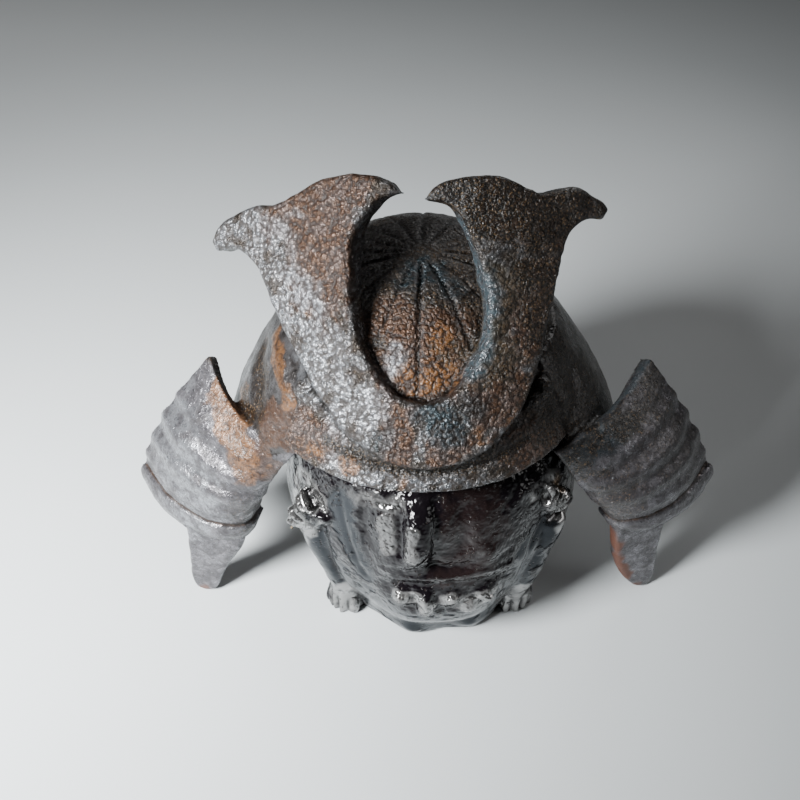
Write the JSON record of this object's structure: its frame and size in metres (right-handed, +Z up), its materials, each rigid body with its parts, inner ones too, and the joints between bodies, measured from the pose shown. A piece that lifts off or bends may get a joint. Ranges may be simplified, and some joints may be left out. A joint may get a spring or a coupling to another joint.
{
  "type": "ceramic kabuto helmet on a relief pot stand",
  "caption": "Fired-clay kabuto with ribbed crown, horned crest, visor, flared guard and winged sides, resting on a dark relief pot.",
  "frame": {"origin": "on the ground, on the pot's flat base, below the middle of the helmet", "axes": "+X to the right as seen from the front (the widest way, across the wings), -Y to the front, +Z up"},
  "size_m": [0.3229, 0.2049, 0.2614],
  "materials": {
    "silver_glaze": "satin silver-grey glaze with rust and ochre patches, finely wrinkled",
    "rust_glaze": "satin silver to rust-brown glaze, orange-peel texture",
    "bare_clay": "grey glaze over bare reddish-brown clay",
    "black_glaze": "glossy black to mirror-silver glaze with pits"
  },
  "bodies": {
    "root": {"crown": "silver_glaze", "visor": "silver_glaze", "crest": "rust_glaze", "neck_guard": "silver_glaze", "left_wing": "silver_glaze", "right_wing": "silver_glaze", "left_leg": "bare_clay", "right_leg": "bare_clay", "pot_body": "black_glaze", "pot_left_limb": "black_glaze", "pot_right_limb": "black_glaze", "pot_left_fan": "black_glaze", "pot_right_fan": "black_glaze"}
  },
  "joints": []
}
